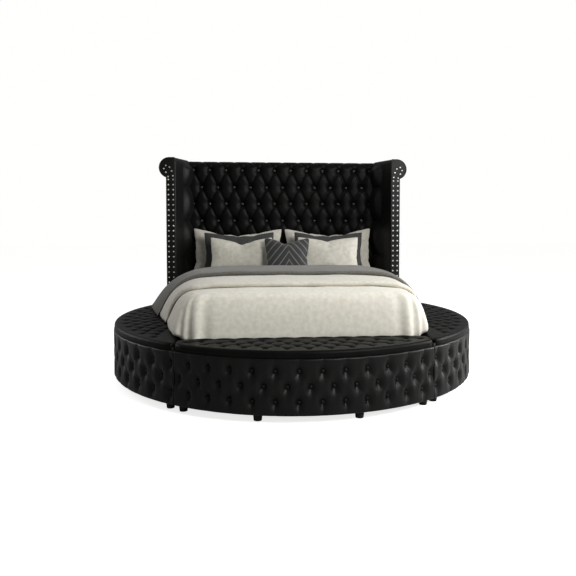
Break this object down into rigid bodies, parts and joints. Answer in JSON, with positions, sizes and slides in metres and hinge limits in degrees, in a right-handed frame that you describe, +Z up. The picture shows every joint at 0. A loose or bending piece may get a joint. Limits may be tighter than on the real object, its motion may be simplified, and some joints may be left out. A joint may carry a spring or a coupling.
{
  "type": "round bed",
  "caption": "Round storage bed: a ring of tufted bench lids round a made-up mattress, with a tall wingback headboard.",
  "frame": {"origin": "on the floor under the middle of the bed's round outline", "axes": "+Z up; +Y from the foot of the bed towards the headboard; +X to the right as seen from the foot"},
  "size_m": [2.73, 2.73, 1.768],
  "materials": {
    "black_velvet": "matte",
    "button_velvet": "matte",
    "nail_chrome": "polished",
    "hinge_steel": "satin",
    "black_feet": "satin",
    "frame_wood": "matte",
    "black_lining": "matte",
    "mattress_ticking": "matte",
    "white_sheet": "matte",
    "ivory_bedding": "matte",
    "grey_blanket": "matte",
    "ivory_pillow": "matte",
    "charcoal_pillow": "matte",
    "striped_cushion": "matte"
  },
  "bodies": {
    "frame": {"beam_legs": "frame_wood", "bench_bolts": "hinge_steel", "bench_feet": "black_feet", "bench_hinge_leaves": "hinge_steel", "blanket": "grey_blanket", "blanket_left_drape": "grey_blanket", "blanket_right_drape": "grey_blanket", "centre_beam": "frame_wood", "coverlet": "ivory_bedding", "coverlet_left_drape": "ivory_bedding", "coverlet_right_drape": "ivory_bedding", "duvet": "ivory_bedding", "duvet_left_drape": "ivory_bedding", "duvet_right_drape": "ivory_bedding", "fitted_sheet": "white_sheet", "foot_bench_buttons": "button_velvet", "foot_bench_cover": "black_velvet", "foot_bench_floor": "black_lining", "foot_bench_shell": "black_lining", "foot_bench_walls": "black_lining", "headboard_board": "black_lining", "headboard_buttons": "button_velvet", "headboard_feet": "black_feet", "headboard_padding": "black_velvet", "left_bench_buttons": "button_velvet", "left_bench_cover": "black_velvet", "left_bench_floor": "black_lining", "left_bench_shell": "black_lining", "left_bench_walls": "black_lining", "left_dark_pillow": "charcoal_pillow", "left_front_pillow": "ivory_pillow", "left_sham": "ivory_pillow", "left_wing_band": "black_velvet", "left_wing_cover": "black_velvet", "left_wing_frame": "frame_wood", "mattress": "mattress_ticking", "right_bench_buttons": "button_velvet", "right_bench_cover": "black_velvet", "right_bench_floor": "black_lining", "right_bench_shell": "black_lining", "right_bench_walls": "black_lining", "right_dark_pillow": "charcoal_pillow", "right_front_pillow": "ivory_pillow", "right_sham": "ivory_pillow", "right_wing_band": "black_velvet", "right_wing_cover": "black_velvet", "right_wing_frame": "frame_wood", "side_rails": "frame_wood", "slats": "frame_wood", "throw_cushion": "striped_cushion", "wing_nails": "nail_chrome"},
    "foot_lid": {"foot_lid_board": "black_lining", "foot_lid_cushion": "black_velvet", "foot_lid_hinge_leaves": "hinge_steel"},
    "left_lid": {"left_lid_board": "black_lining", "left_lid_cushion": "black_velvet", "left_lid_hinge_leaves": "hinge_steel"},
    "right_lid": {"right_lid_board": "black_lining", "right_lid_cushion": "black_velvet", "right_lid_hinge_leaves": "hinge_steel"}
  },
  "joints": [
    {"name": "foot_lid_hinge", "type": "hinge", "parent": "frame", "child": "foot_lid", "pos_m": [0, -0.9647, 0.4183], "axis": [-1, 0, 0], "range_deg": [0, 80]},
    {"name": "left_lid_hinge", "type": "hinge", "parent": "frame", "child": "left_lid", "pos_m": [-0.7977, 0, 0.4183], "axis": [0, 1, 0], "range_deg": [0, 80], "deforming": ["duvet_left_drape", "coverlet_left_drape", "blanket_left_drape"]},
    {"name": "right_lid_hinge", "type": "hinge", "parent": "frame", "child": "right_lid", "pos_m": [0.7977, 0, 0.4183], "axis": [0, -1, 0], "range_deg": [0, 80], "deforming": ["duvet_right_drape", "coverlet_right_drape", "blanket_right_drape"]}
  ]
}
